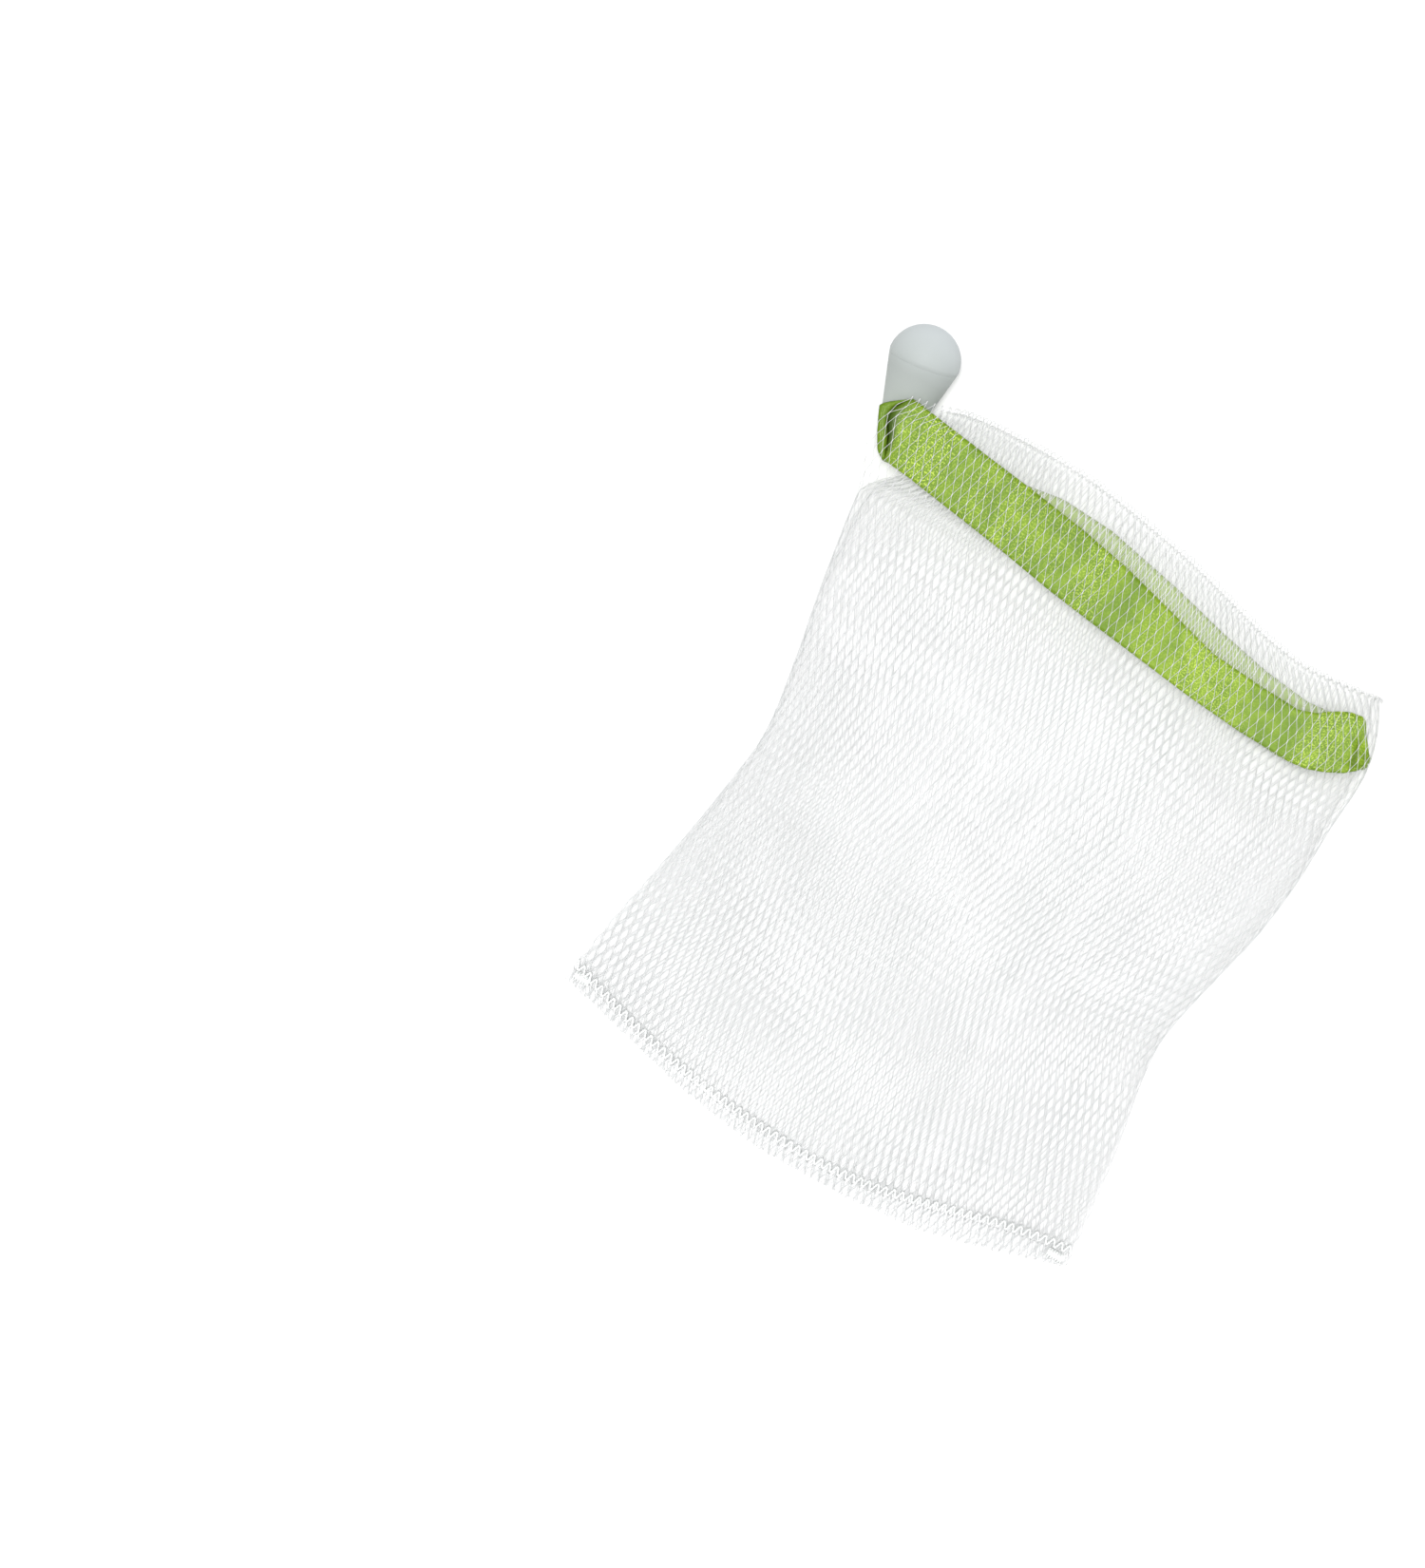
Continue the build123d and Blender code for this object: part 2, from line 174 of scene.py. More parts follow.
def level_of(share):
    """Left, right, height, roundness and left side's y, at a share of the way from the seam to the mouth."""
    left_y = mix(LEFT_SIDE[0][0], LEFT_SIDE[-1][0], share)
    right_y = mix(RIGHT_SIDE[0][0], RIGHT_SIDE[-1][0], share)
    left = float(smooth_line(LEFT_SIDE, left_y))
    right = float(smooth_line(RIGHT_SIDE, right_y))
    return left, right, float(smooth_line(HEIGHTS, share)), float(smooth_line(ROUNDNESS, share)), left_y


def section(share, depth, front):
    """Half the pouch's cross-section, from left to right, as x and z, without the ribbon's exit."""
    left, right, height, power, _ = level_of(share)
    turn = np.linspace(math.pi, 0, 241)
    centre, reach = (left + right) / 2, (right - left) / 2 - depth
    x = centre + reach * np.sign(np.cos(turn)) * np.abs(np.cos(turn)) ** (2 / power)
    rise = (height / 2 - depth) * np.abs(np.sin(turn)) ** (2 / power)
    return x, height / 2 + (rise if front else -rise)


def at_exit(share, depth, front, whole, run, x, z):
    """Opens the left side for the ribbon: the plies lie flat there, and all but one stop short of it."""
    left, _, height, _, left_y = level_of(share)
    opening = float(ease(left_y, EXIT_LOW, EXIT_HIGH))
    start = left + depth - 2.4 * (1 - float(ease(left_y, 53, 58))) if whole else EXIT_EDGE
    reach = np.interp(EXIT_REACH, run, x)
    flat_x = start + run * (reach - start) / EXIT_REACH
    flat_z = height / 2 + (1 if front else -1) * (height / 2 - depth)
    x = np.where(run < EXIT_REACH, mix(x, flat_x, opening), x)
    return x, mix(z, flat_z, opening * (1 - ease(run, 0.6 * EXIT_REACH, 1.4 * EXIT_REACH)))


def ply_depth(share, inner):
    """Depth of a ply's middle below the pouch's outline."""
    if not inner:
        return OUTER_DEPTH
    depths = [(0, 0.55), (0.08, 0.7), (0.74, 0.7), (0.82, INNER_DEPTH), (1, INNER_DEPTH)]
    return float(smooth_line(depths, share))


def wall_places(strand_at, shares, inner, front):
    """Points of a wall: strand_at[k, j] is the place across, 0 to 1, of strand k at shares[j]."""
    x = np.empty(strand_at.shape)
    z = np.empty(strand_at.shape)
    ends = {}
    whole = front and not inner
    for j, share in list(enumerate(shares)) + [("low", 0.0), ("high", 1.0)]:
        depth = ply_depth(share, inner)
        xs, zs = section(share, depth, front)
        run = np.concatenate([[0], np.cumsum(np.hypot(np.diff(xs), np.diff(zs)))])
        total = run[-1]
        xs, zs = at_exit(share, depth, front, whole, run, xs, zs)
        if isinstance(j, str):
            ends[j] = np.interp(strand_at[:, 0], run / total, xs)
            continue
        x[:, j] = np.interp(strand_at[:, j], run / total, xs)
        z[:, j] = np.interp(strand_at[:, j], run / total, zs)
    low = smooth_line(SEAM_LINE, ends["low"])[:, None]
    high = smooth_line(FOLD_LINE, ends["high"])[:, None]
    y = mix(low, high, np.asarray(shares)[None, :])
    return x, y, z


# ---- meshes ----
def new_piece(name, points, faces, body=None):
    """A new object with a smooth mesh from points in millimetres."""
    mesh = bpy.data.meshes.new(name)
    mesh.from_pydata((points * MM).tolist(), [], faces)
    mesh.polygons.foreach_set("use_smooth", [True] * len(mesh.polygons))
    mesh.update()
    piece = bpy.data.objects.new(name, mesh)
    bpy.context.scene.collection.objects.link(piece)
    if body:
        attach(piece, body)
    return piece


def tube_parts(centres, radii, sides=4, guide=(1, 0, 0)):
    """Points and quads of closed tubes round many lines: centres[k, j] and radii[k, j]."""
    count, length, _ = centres.shape
    ahead = np.gradient(centres, axis=1)
    ahead /= np.linalg.norm(ahead, axis=2, keepdims=True)
    guide = np.broadcast_to(np.asarray(guide, float), ahead.shape)
    one = guide - ahead * np.sum(guide * ahead, axis=2, keepdims=True)
    one /= np.linalg.norm(one, axis=2, keepdims=True)
    two = np.cross(ahead, one)
    angles = np.arange(sides) * 2 * math.pi / sides
    ring = one[:, :, None] * np.cos(angles)[:, None] + two[:, :, None] * np.sin(angles)[:, None]
    points = centres[:, :, None] + radii[:, :, None, None] * ring
    k = np.arange(count)[:, None, None] * length * sides
    j = np.arange(length - 1)[None, :, None] * sides
    a = np.arange(sides)[None, None, :]
    b = (a + 1) % sides
    quads = np.stack([k + j + a, k + j + b, k + j + sides + b, k + j + sides + a], axis=-1).reshape(-1, 4)
    return points.reshape(-1, 3), quads, k.ravel(), length


def tube_piece(name, centres, radii, sides=4, guide=(1, 0, 0), body=None):
    """An object of closed tubes, one per line, with each tube's faces in one run."""
    points, quads, starts, length = tube_parts(centres, radii, sides, guide)
    faces = [list(q) for q in quads.tolist()]
    for start in starts.tolist():
        last = start + (length - 1) * sides
        faces.append([start + i for i in reversed(range(sides))])
        faces.append([last + i for i in range(sides)])
    return new_piece(name, points, faces, body)


def share_out_materials(piece, materials, strands):
    """Gives each strand one of the materials, so that neighbours differ a little."""
    for material in materials:
        piece.data.materials.append(material)
    per_strand = (len(piece.data.polygons) - 2 * strands) // strands
    picks = [dice.randrange(len(materials)) for _ in range(strands)]
    index = [p for p in picks for _ in range(per_strand)] + [p for p in picks for _ in range(2)]
    piece.data.polygons.foreach_set("material_index", index)


# ---- materials ----
def new_material(name, colour, roughness):
    """A material and its Principled shader."""
    material = bpy.data.materials.new(name)
    material.use_nodes = True
    shader = material.node_tree.nodes["Principled BSDF"]
    shader.inputs["Base Color"].default_value = (*colour, 1)
    shader.inputs["Roughness"].default_value = roughness
    return material, shader


def node(material, kind, **settings):
    """A shader node; settings named in_X go to the socket X."""
    made = material.node_tree.nodes.new(kind)
    for key, value in settings.items():
        if key.startswith("in_"):
            made.inputs[key[3:].replace("_", " ")].default_value = value
        else:
            setattr(made, key, value)
    return made


def wire(material, source, output, target, socket):
    material.node_tree.links.new(source.outputs[output], target.inputs[socket])


def ramp(material, source, output, stops, target=None, socket=None):
    """A colour ramp of (place, colour) stops fed by a node, and led to a socket if one is named."""
    made = node(material, "ShaderNodeValToRGB")
    while len(made.color_ramp.elements) < len(stops):
        made.color_ramp.elements.new(0.5)
    for element, (place, colour) in zip(made.color_ramp.elements, stops):
        element.position = place
        element.color = (*colour, 1) if hasattr(colour, "__len__") else (colour, colour, colour, 1)
    wire(material, source, output, made, "Fac")
    if target is not None:
        wire(material, made, "Color", target, socket)
    return made


def net_material(name, colour, rough_low, rough_high):
    """Fine white monofilament: even colour, gloss that changes along the yarn."""
    material, shader = new_material(name, colour, 0.4)
    place = node(material, "ShaderNodeTexCoord")
    grain = node(material, "ShaderNodeTexNoise", in_Scale=900.0, in_Detail=2.0)
    wire(material, place, "Object", grain, "Vector")
    ramp(material, grain, "Fac", [(0.3, rough_low), (0.7, rough_high)], shader, "Roughness")
    shader.inputs["Specular IOR Level"].default_value = 0.5
    return material


NET_COLOURS = [(0.73, 0.74, 0.74), (0.68, 0.695, 0.695), (0.77, 0.775, 0.78)]
net_whites = [net_material(f"net_yarn_{i + 1}", c, 0.28, 0.5) for i, c in enumerate(NET_COLOURS)]
# Painted light: the lower plies and the fringe get copies of these yarns made 1.08 times lighter, standing in
# for light that passes through the plies above.
painted_light_whites = [net_material(f"net_yarn_painted_light_{i + 1}", tuple(1.08 * v for v in c), 0.28, 0.5)
                for i, c in enumerate(NET_COLOURS)]


# ---- net walls ----
def zigzag(meshes, first):
    """Shares along a strand and its sideways swing, from 1 to -1, at each sample, begun part way in a mesh."""
    turns = np.add.outer(np.arange(meshes), SWING_PHASES).ravel()
    turns = np.concatenate([[first], turns[turns > first + 0.02], [meshes]])
    return (turns - first) / (meshes - first), np.cos(2 * math.pi * turns)


def net_wall(name, inner, front):
    """One wall of the net: strands that zigzag and meet their neighbours at the knots."""
    shares, swings = zigzag(MESHES[name], FIRST_TURN[name])
    shares = shares * (0.99 if inner else 0.994)
    count = STRANDS[name]
    number = np.arange(count)[:, None]
    side = np.where(number % 2 == 0, 1, -1)
    swing = SWING * side * swings[None, :]
    place = (number + 0.5 + swing) / count
    x, y, z = wall_places(place, shares, inner, front)
    sway = noise_at(x, y, 16, 21, 1.7 if inner else 5.2)
    edge = ease(np.minimum(place, 1 - place), 0.0, 0.06)
    x = x + 0.3 * sway * edge * ease(shares[None, :], 0, 0.05)
    if front:
        z = z + lift(x, y) * ease(np.minimum(place, 1 - place), 0.01, 0.1)
    else:
        z = np.maximum(z, FLOOR_LEVEL)
    centres = np.stack([x, y, z], axis=2)
    knot = np.abs(swings) > 0.95
    radii = np.where(knot, KNOT_WIDTH, YARN_WIDTH)[None, :] * STRAND_RADIUS * np.ones((count, 1))
    if front and not inner:
        radii = radii * (1 - OVER_RIBBON * ease(shares, 0.78, 0.84))
    if not inner:
        centres, radii = with_curl(centres, radii, side[:, 0], front)
    piece = tube_piece(name, centres, radii)
    share_out_materials(piece, net_whites if front and not inner else painted_light_whites, count)
    return piece


def with_curl(centres, radii, side, front):
    """Adds the fold at the mouth, where each outer strand turns over to the inner side, still zigzagging."""
    end = centres[:, -1]
    covered = ease(end[:, 0], EXIT_EDGE - 1, EXIT_EDGE + 5)
    radius = mix(0.12, (INNER_DEPTH - OUTER_DEPTH) / 2, covered)
    down = -1 if front else 1
    steps = []
    for i in range(1, CURL_STEPS + 1):
        turn = math.pi * i / CURL_STEPS
        step = end.copy()
        step[:, 0] += SIDE_REACH * side * (np.cos(math.pi * radius * turn / HALF_MESH) - 1)
        step[:, 1] += radius * math.sin(turn)
        step[:, 2] += down * radius * (1 - math.cos(turn))
        steps.append(step)
    centres = np.concatenate([centres, np.stack(steps, axis=1)], axis=1)
    return centres, np.concatenate([radii, np.repeat(radii[:, -1:], CURL_STEPS, 1)], axis=1)


WALLS = {
    "net_outer_front": ("outer_net_front", "outer_net_left_fold", "casing_outer_front",
                        "casing_outer_left_fold", "mouth_fold_front", "bottom_hem"),
    "net_outer_back": ("outer_net_back", "outer_net_right_fold", "casing_outer_back",
                       "casing_outer_right_fold", "mouth_fold_back"),
    "net_inner_front": ("inner_net_front", "inner_net_left_fold", "casing_inner_front",
                        "casing_inner_left_fold"),
    "net_inner_back": ("inner_net_back", "inner_net_right_fold", "casing_inner_back",
                       "casing_inner_right_fold"),
}


def gathers(piece):
    """Bakes the net's placement into its mesh."""
    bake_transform(piece)


walls = {}
for wall_name, nodes in WALLS.items():
    wall = net_wall(wall_name, inner="inner" in wall_name, front="front" in wall_name)
    gathers(wall)
    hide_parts(*nodes)
    walls[wall_name] = wall


# ---- bottom: fringe, seam thread and corner tacks ----
FRINGE_STEPS = 9


def fringe_piece():
    """The cut ends of all four plies beyond the seam, a little splayed."""
    lines, widths = [], []
    for wall_name, count in STRANDS.items():
        inner, front = "inner" in wall_name, "front" in wall_name
        sign = np.where(np.arange(count) % 2 == 0, 1, -1)
        first = 2 * math.pi * FIRST_TURN[wall_name]
        place = ((np.arange(count) + 0.5 + SWING * math.cos(first) * sign) / count)[:, None]
        x, y, z = wall_places(place, [0.0], inner, front)
        x, y, z = x[:, 0], y[:, 0], z[:, 0]
        reach = y - np.interp(x, *np.array(FRINGE_LINE).T)
        for k in range(count):
            long = reach[k] * dice.uniform(0.86, 1.06) + 0.1
            lean = dice.uniform(-0.25, 0.25)
            droop = dice.uniform(0.5, 0.9)
            line = []
            for step in range(FRINGE_STEPS):
                share = step / (FRINGE_STEPS - 1)
                turn = math.pi * share * long / HALF_MESH
                across = SIDE_REACH * sign[k] * (math.cos(first - turn) - math.cos(first)) + lean * share**2
                level = max(FLOOR_LEVEL, z[k] * (1 - droop * share**2 * 0.6))
                line.append((x[k] + across, y[k] - long * share, level))
            lines.append(line)
            widths.append([STRAND_RADIUS * (1.2 if step == 0 else YARN_WIDTH) for step in range(FRINGE_STEPS)])
    piece = tube_piece("bottom_fringe_yarns", np.array(lines), np.array(widths), body="root")
    share_out_materials(piece, painted_light_whites, len(lines))
    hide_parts("bottom_fringe")
    return piece


def along(path):
    """Distance along a path of points."""
    return np.concatenate([[0], np.cumsum(np.linalg.norm(np.diff(path, axis=0), axis=1))])


def even(path, step):
    """The path's points again, evenly spaced."""
    run = along(path)
    at = np.linspace(0, run[-1], max(2, int(run[-1] / step) + 1))
    return np.stack([np.interp(at, run, path[:, i]) for i in range(3)], axis=1)


def twisted(path, twist, spread, radius, plies=2):
    """Centre lines and radii of a thread's plies, wound round its path."""
    run = along(path)
    ahead = np.gradient(path, axis=0)
    ahead /= np.linalg.norm(ahead, axis=1, keepdims=True)
    one = np.cross(ahead, (0.03, 0.05, 1))
    one /= np.linalg.norm(one, axis=1, keepdims=True)
    two = np.cross(ahead, one)
    lines = []
    for i in range(plies):
        turn = 2 * math.pi * (run / twist + i / plies)
        lines.append(path + spread * (np.cos(turn)[:, None] * one + np.sin(turn)[:, None] * two))
    lines = np.array(lines)
    return lines, np.full(lines.shape[:2], radius)


STITCH_PITCH = 1.5
STITCH_INSET = 1.0
STITCH_REACH = 0.65  # of the zigzag, to each side of the seam


def seam_path(top):
    """One of the two threads of the zigzag seam: flat on its face of the plies, pulled in at the turns."""
    x = np.linspace(-47.0, 50.6, 4000)
    y = smooth_line(SEAM_LINE, x) + STITCH_INSET
    run = along(np.stack([x, y, 0 * x], axis=1))
    beat = np.abs(np.mod(run / STITCH_PITCH, 1) - 0.5) * 2
    turn = np.abs(beat - 0.5) * 2
    outside, inside = (SEAM_HEIGHT + 0.2, 1.5) if top else (0.18, 1.0)
    z = mix(outside, inside, ease(turn, 0.8, 1.0))
    y = y + STITCH_REACH * (2 * ease(beat, 0.04, 0.96) - 1)
    return even(np.stack([x, y, z], axis=1), 0.13)


def thread_piece(name, paths, node_name, radius=0.115, spread=0.095, twist=0.95):
    """Twisted two-ply thread along some paths, as one piece."""
    all_points, all_faces = [], []
    offset = 0
    for path in paths:
        lines, radii = twisted(path, twist, spread, radius)
        points, quads, starts, length = tube_parts(lines, radii, 5, (0.2, 0.3, 1))
        all_points.append(points)
        all_faces += (quads + offset).tolist()
        for start in starts.tolist():
            last = start + (length - 1) * 5
            all_faces.append([offset + start + i for i in reversed(range(5))])
            all_faces.append([offset + last + i for i in range(5)])
        offset += len(points)
    piece = new_piece(name, np.concatenate(all_points), all_faces, "root")
    piece.data.materials.append(thread_white)
    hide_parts(node_name)
    return piece


def tack_path(node_name):
    """A bar tack: close zigzag stitches over the end of the seam."""
    low, high = box_mm(node_name)
    middle = (low + high) / 2
    half_length, half_width = (high - low)[0] / 2 - 0.3, (high - low)[1] / 2 - 0.1
    passes = 12
    corners = []
    for i in range(passes + 1):
        side = 1 if i % 2 else -1
        x = middle[0] + mix(-half_length, half_length, i / passes)
        corners.append((x, middle[1] + side * half_width, SEAM_HEIGHT - 0.5))
        if i < passes:
            step = half_length / passes
            corners.append((x + step, middle[1], high[2] - 0.16 + 0.05 * (i % 2)))
    corners = np.array(corners)
    at = np.linspace(0, len(corners) - 1, 320)
    lines = [smooth_line(list(enumerate(corners[:, i])), at) for i in range(3)]
    return even(np.stack(lines, axis=1), 0.16)


def thread_material():
    """Matt twisted sewing thread."""
    material, shader = new_material("sewing_thread", (0.80, 0.82, 0.81), 0.7)
    place = node(material, "ShaderNodeTexCoord")
    grain = node(material, "ShaderNodeTexNoise", in_Scale=1800.0, in_Detail=3.0)
    wire(material, place, "Object", grain, "Vector")
    whites = [(0.25, (0.80, 0.82, 0.81)), (0.75, (0.94, 0.955, 0.95))]
    ramp(material, grain, "Fac", whites, shader, "Base Color")
    bump = node(material, "ShaderNodeBump", in_Strength=0.3, in_Distance=0.00004)
    wire(material, grain, "Fac", bump, "Height")
    wire(material, bump, "Normal", shader, "Normal")
    return material


thread_white = thread_material()
fringe_piece()
thread_piece("seam_thread", [seam_path(True), seam_path(False)], "bottom_seam_thread")
for side in ("left", "right"):
    thread_piece(f"bar_tack_{side}", [tack_path(f"corner_tack_{side}")], f"corner_tack_{side}")

# ---- ribbon ----
RIBBON_THICK = 0.3
FRONT_LOW = [(-45.3, 46.9), (-40, 46.4), (-30, 45.0), (-20, 43.6), (-10, 41.9), (0, 40.6), (10, 39.4),
             (20, 38.2), (30, 37.4), (40, 37.2), (43.1, 37.6), (46.1, 38.7), (49.2, 40.3), (50.7, 41.6),
             (51.6, 42.6)]
FRONT_HIGH = [(-45.3, 58.1), (-30, 56.1), (-20, 54.9), (-10, 53.5), (0, 51.6), (10, 49), (20, 46.4), (30, 45.7),
              (37, 45.5), (40.1, 46.6), (41.3, 47.6), (43.1, 48.7), (44.9, 49.6), (47.1, 50.0), (48, 49.6),
              (49.2, 47.6), (51.0, 45.4), (51.6, 44.8)]
BACK_HIGH = [(-44, 56.6), (-30, 55.6), (-21, 56.0), (-15, 57), (-5, 56.5), (0, 55.5), (10, 53.5), (20, 51),
             (30, 49), (38.6, 48.1), (44, 48.6), (48, 48.0), (50.5, 46.0), (51.6, 44.8)]
BACK_LOW = [(-44, 48.0), (-30, 46.6), (-15, 46.0), (0, 44.5), (10, 42.6), (20, 40.0), (30, 38.2), (38.6, 37.6),
            (44, 38.2), (48, 39.8), (50.5, 41.6), (51.6, 42.6)]
# Left end of the front run, by the share of the width: where it creases and where it turns under.
CREASE = [(0, (-44.9, 47.2)), (0.2, (-45.5, 49.0)), (0.36, (-46.2, 50.7)), (0.5, (-47.1, 52.0)),
          (0.62, (-47.9, 53.4)), (0.76, (-47.9, 55.3)), (0.9, (-46.9, 57.2)), (1, (-45.8, 58.0))]
OUTLINE = [(0, (-45.0, 46.7)), (0.15, (-46.6, 47.6)), (0.3, (-47.65, 49.3)), (0.45, (-48.7, 51.1)),
           (0.6, (-49.65, 53.2)), (0.72, (-50.35, 54.6)), (0.82, (-49.0, 55.8)), (0.91, (-47.3, 57.1)),
           (1, (-45.6, 58.2))]
ACROSS = 18  # points over the ribbon's width
CORNER_STEPS = 26


def by_share(points, share):
    """Place on a line of (share, (x, y)) points."""
    shares = [p[0] for p in points]
    return tuple(np.interp(share, shares, [p[1][i] for p in points]) for i in range(2))


def stopper_top(x, y):
    """Height of the stopper's upper side when it is swung under a place."""
    out = np.hypot(x - SWING_POINT[0], y - SWING_POINT[1]) - (STOPPER_END[1] - SWING_POINT[1])
    top = 2 * STOPPER_END[2] + out * math.tan(2 * math.atan(SLOPE))
    return np.where(out > -0.8, top, 0)


def ribbon_corner():
    """Rows of the left end of the front run, from where it turns under to the straight run."""
    share = np.linspace(0, 1, ACROSS)
    level = CASING_HEIGHT - RIBBON_DEPTH
    start_x, start_y = np.full(ACROSS, -43.6), mix(46.75, 57.95, share)
    crease_x, crease_y = by_share(CREASE, share)
    out_x, out_y = by_share(OUTLINE, share)
    rows, shades = [], []
    for i in range(8):  # under the outline, from its end to the turn
        turn = math.pi * i / 7
        x = out_x + 0.32 + 1.5 * (1 - i / 7) + 0.32 * math.cos(turn) * 0.3
        y = mix(out_y, crease_y, 0.5 * (1 - i / 7))
        z = np.full(ACROSS, level - 0.95 + 0.5 * (i / 7) ** 2)
        rows.append((x, y, z))
        shades.append(np.full(ACROSS, 0.55))
    sliver = np.hypot(out_x - crease_x, out_y - crease_y)
    for i in range(9):  # the outer sliver, from the turn up to the crease
        share_in = (i + 0.5) / 9
        x, y = mix(out_x, crease_x, share_in), mix(out_y, crease_y, share_in)
        arch = math.sin(math.pi * min(1, share_in * 1.15)) * 0.25
        z = level - 0.42 + arch * np.clip(sliver, 0, 1.6) / 1.6 - 0.55 * ease(share_in, 0.75, 1.0)
        rows.append((x, y, z * np.ones(ACROSS)))
        shade = 0.82 - 0.6 * ease(share_in, 0.5, 0.95) - 0.12 * ease(1 - share_in, 0.6, 1)
        shades.append(shade * np.ones(ACROSS))
    for i in range(CORNER_STEPS - 17):  # from the crease, up over its rounded edge, to the run
        share_in = (i + 0.5) / (CORNER_STEPS - 17)
        x, y = mix(crease_x, start_x, share_in**1.4), mix(crease_y, start_y, share_in)
        z = level - 0.85 * (1 - ease(share_in, 0.0, 0.32)) + 0.06 * math.sin(math.pi * share_in)
        rows.append((x, y, z * np.ones(ACROSS)))
        depth = 0.95 * (1 - ease(share_in, 0.3, 0.72))
        shades.append(1 - depth * (0.35 + 0.65 * np.sin(math.pi * np.clip(share * 1.05, 0, 1))))
    points = np.array([np.stack(r, axis=1) for r in rows])
    clear = stopper_top(points[..., 0], points[..., 1]) + RIBBON_THICK / 2 + 0.15
    points[..., 2] = np.maximum(points[..., 2], np.minimum(clear, level - 0.25))
    return points, np.array(shades)


def ribbon_rows(front):
    """Rows of one run and its half of the far loop, from left to right."""
    left, right, height, power, _ = level_of(0.87)
    centre, reach = (left + right) / 2, (right - left) / 2 - RIBBON_DEPTH
    half = height / 2 - RIBBON_DEPTH
    turn = np.linspace(math.pi / 2, 0, 400)
    arc_x = centre + reach * np.abs(np.cos(turn)) ** (2 / power)
    arc_z = half * np.abs(np.sin(turn)) ** (2 / power)
    start = -43.0 if front else -43.6
    line = np.concatenate([[[start, 0, half]], np.stack([arc_x, 0 * arc_x, arc_z], axis=1)])
    line = even(line, 0.42)
    x = line[:, 0]
    low = np.interp(x, *np.array(FRONT_LOW if front else BACK_LOW).T)
    high = np.interp(x, *np.array(FRONT_HIGH if front else BACK_HIGH).T)
    share = np.linspace(0, 1, ACROSS)[None, :]
    y = mix(low[:, None], high[:, None], share)
    xx = np.repeat(x[:, None], ACROSS, 1)
    squeeze = 1 - np.clip((high - low) / 10.5, 0, 1)[:, None]
    near_end = ease(x, 44, 50)[:, None]
    ripple = 0.1 * noise_at(xx, y, 5.5, 16, 2.2 if front else 9.1) + 0.04 * noise_at(xx, y, 1.8, 6, 4.4)
    pleat = near_end * squeeze * 0.38 * np.sin(share * 2 * math.pi * 2.5)
    crest = np.exp(-(((xx - mix(50.1, 48.5, share)) / 0.5) ** 2)) * near_end
    z = height / 2 + line[:, 2][:, None] + ripple + pleat - 0.5 * crest * np.sin(math.pi * share)
    if front:
        z = z + lift(xx, y) * (1 - ease(xx, 44, 50))
    else:
        z = height - z
    xx = xx - 0.5 * pleat * ease(xx, 50, 51.5)
    shade = 1 - 0.7 * crest * (0.3 + 0.7 * np.sin(math.pi * share)) - 0.2 * ease(xx, 49.5, 51.5)
    return np.stack([xx, y, z], axis=2), shade


def strip_mesh(name, rows, shade, thick, body=None, first=0.0):
    """A closed strip of ribbon round a grid of points, with rounded edges, its own coordinates along and
    across, and its painted shade.
    """
    count, across, _ = rows.shape
    down = np.gradient(rows, axis=0)
    over = np.gradient(rows, axis=1)
    normal = np.cross(down, over)
    normal /= np.maximum(np.linalg.norm(normal, axis=2, keepdims=True), 1e-9)
    edge = over / np.maximum(np.linalg.norm(over, axis=2, keepdims=True), 1e-9)
    top, under = rows + normal * thick / 2, rows - normal * thick / 2
    ring = np.concatenate([under, (rows[:, -1] + edge[:, -1] * thick * 0.35)[:, None], top[:, ::-1],
                           (rows[:, 0] - edge[:, 0] * thick * 0.35)[:, None]], axis=1)
    size = ring.shape[1]
    i = np.arange(count - 1)[:, None] * size
    a = np.arange(size)[None, :]
    b = (a + 1) % size
    faces = np.stack([i + a, i + b, i + size + b, i + size + a], axis=-1).reshape(-1, 4).tolist()
    for row in (0, count - 1):
        base = row * size
        for k in range(across - 1):
            low = [base + k, base + k + 1, base + 2 * across - 1 - k, base + 2 * across - k]
            faces.append(low[::-1] if row else low)
        tips = [[base + across - 1, base + across, base + across + 1],
                [base + 2 * across, base + 2 * across + 1, base]]
        faces += [t[::-1] for t in tips] if row else tips
    piece = new_piece(name, ring.reshape(-1, 3), faces, body)
    run = first + along(rows[:, across // 2])
    wide = np.linspace(0, 1, across)
    wides = np.concatenate([wide, [1.0], wide[::-1], [0.0]])
    shades = np.concatenate([shade, shade[:, -1:], shade[:, ::-1], shade[:, :1]], axis=1)
    # The third value carries the painted shade: 1 on plain ribbon, lower in creases and folds.
    data = np.stack([np.repeat(run[:, None], size, 1), np.repeat(wides[None, :], count, 0), shades], axis=2)
    weave_and_shade = piece.data.attributes.new("weave_and_shade", "FLOAT_VECTOR", "POINT")
    weave_and_shade.data.foreach_set("vector", data.reshape(-1))
    sides = np.repeat([1.0, 0.5, 0.0, 0.5], [across, 1, across, 1])  # 1 on the satin's dull side
    reverse = piece.data.attributes.new("reverse", "FLOAT", "POINT")
    reverse.data.foreach_set("value", np.tile(sides, count))
    return piece


